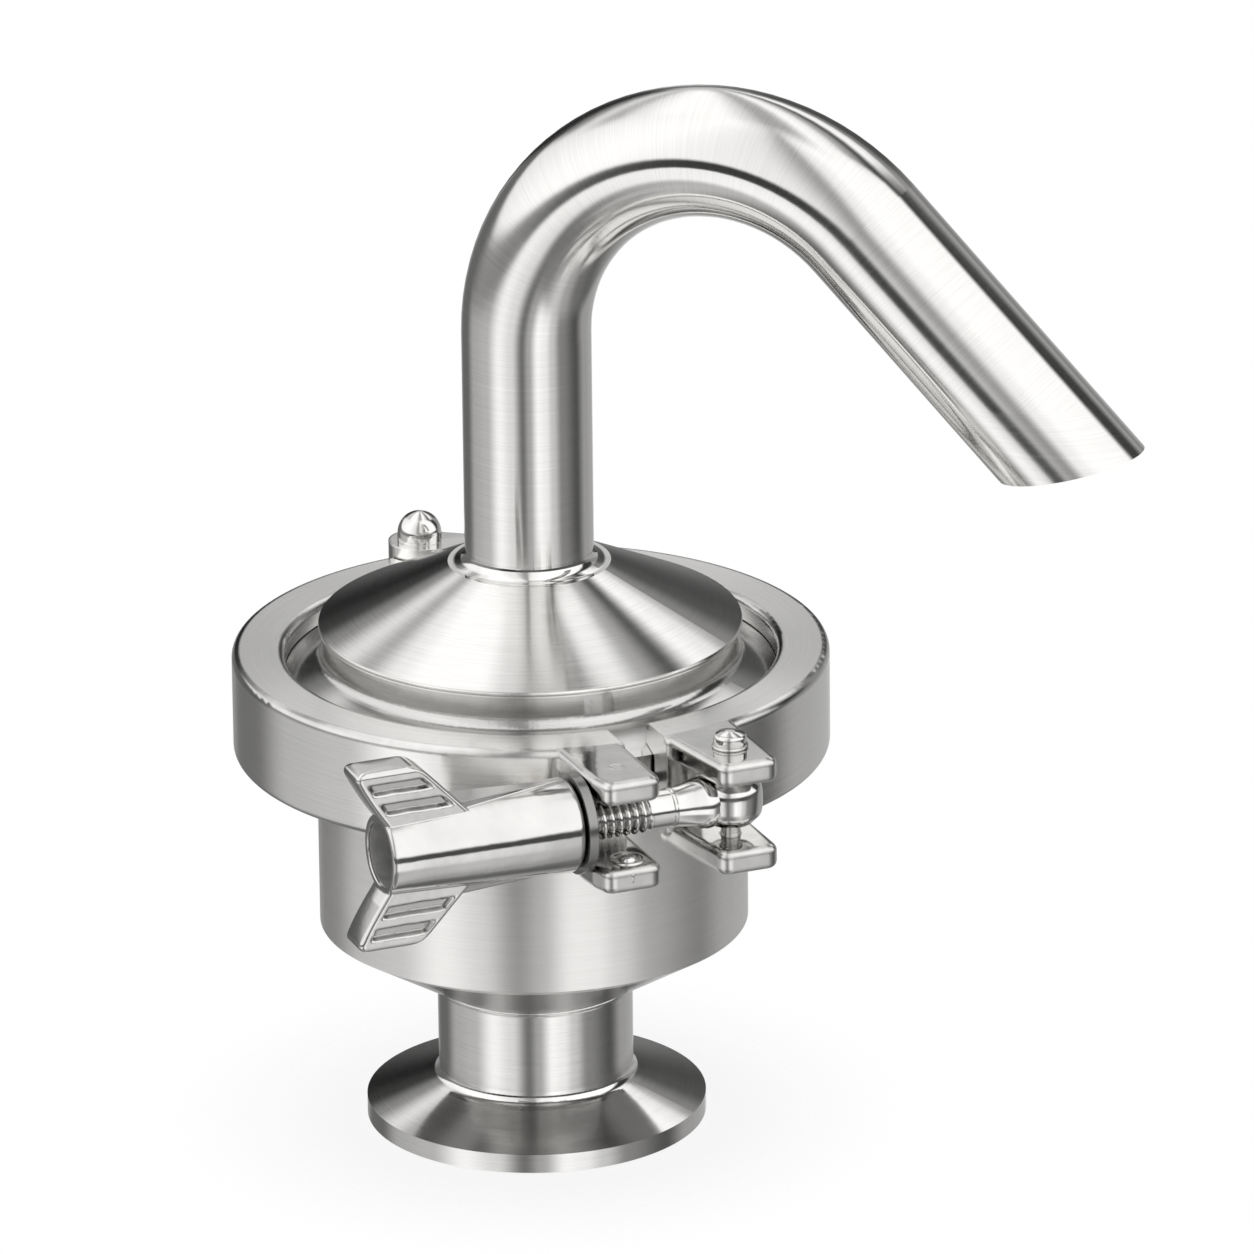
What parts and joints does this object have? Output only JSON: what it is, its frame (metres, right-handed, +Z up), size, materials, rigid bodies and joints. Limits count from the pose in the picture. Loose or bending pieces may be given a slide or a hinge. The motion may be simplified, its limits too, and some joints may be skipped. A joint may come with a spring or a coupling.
{
  "type": "pressure relief valve",
  "caption": "Hygienic spring-loaded pressure relief valve with a ferrule inlet, a stepped round body, a hinged wing-nut clamp and an open down-turned discharge bend.",
  "frame": {"origin": "centre of the inlet ferrule's face", "axes": "+Z up along the valve's axis, +X the way the discharge bend leans"},
  "size_m": [0.1393, 0.1158, 0.163],
  "materials": {
    "turned_steel": "brushed",
    "clamp_steel": "satin with polished edges",
    "polished_steel": "polished",
    "inner_steel": "machined",
    "spring_steel": "drawn wire",
    "black_seal": "matte",
    "white_bush": "matte"
  },
  "bodies": {
    "valve_body": {"inlet_ferrule": "turned_steel", "body_shell": "turned_steel", "body_flange": "turned_steel", "clamp_gasket": "black_seal", "seat_ring": "inner_steel", "valve_spring": "spring_steel", "spring_plate": "inner_steel", "guide_spider": "inner_steel", "adjusting_screw": "inner_steel", "stem_bush": "white_bush", "lock_nut": "inner_steel"},
    "poppet": {"valve_disc": "inner_steel", "seat_seal": "black_seal", "seal_retainer": "inner_steel", "valve_stem": "inner_steel", "disc_nut": "inner_steel"},
    "outlet": {"outlet_flange": "turned_steel", "outlet_cone": "turned_steel", "gooseneck_tube": "turned_steel"},
    "clamp_right": {"clamp_half_right": "clamp_steel", "hinge_pin": "polished_steel", "eye_pin": "polished_steel"},
    "clamp_left": {"clamp_half_left": "clamp_steel"},
    "swing_bolt": {"eye_bolt": "polished_steel"},
    "nut_washer": {"thrust_washer": "polished_steel"},
    "turning_nut": {"wing_nut": "polished_steel"}
  },
  "joints": [
    {"name": "valve_lift", "type": "slide", "parent": "valve_body", "child": "poppet", "axis": [0, 0, 1], "range_m": [0, 0.005], "stiffness_N_per_m": 7000, "springref_m": -0.0128, "deforming": ["valve_spring"]},
    {"name": "outlet_swivel", "type": "hinge", "parent": "valve_body", "child": "outlet", "pos_m": [0, 0, 0.0658], "axis": [0, 0, 1], "continuous": true},
    {"name": "clamp_swivel", "type": "hinge", "parent": "valve_body", "child": "clamp_right", "pos_m": [0, 0, 0.0658], "axis": [0, 0, 1], "continuous": true},
    {"name": "clamp_open", "type": "hinge", "parent": "clamp_right", "child": "clamp_left", "pos_m": [-0.03104, 0.03104, 0.0658], "axis": [0, 0, -1], "range_deg": [0, 4.6]},
    {"name": "bolt_swing", "type": "hinge", "parent": "clamp_right", "child": "swing_bolt", "pos_m": [0.04299, -0.02843, 0.0658], "axis": [0, 0, 1], "range_deg": [0, 100]},
    {"name": "nut_travel", "type": "slide", "parent": "swing_bolt", "child": "nut_washer", "axis": [-0.7071, -0.7071, 0], "range_m": [0, 0.0076]},
    {"name": "nut_turn", "type": "hinge", "parent": "nut_washer", "child": "turning_nut", "pos_m": [0.02534, -0.04607, 0.0658], "axis": [-0.7071, -0.7071, 0], "range_deg": [0, 2160]}
  ],
  "couplings": [
    {"joint": "nut_travel", "follows": "nut_turn", "m_per_rad": 0.00019894},
    {"joint": "clamp_open", "follows": "nut_turn", "ratio": 0.0021074}
  ]
}
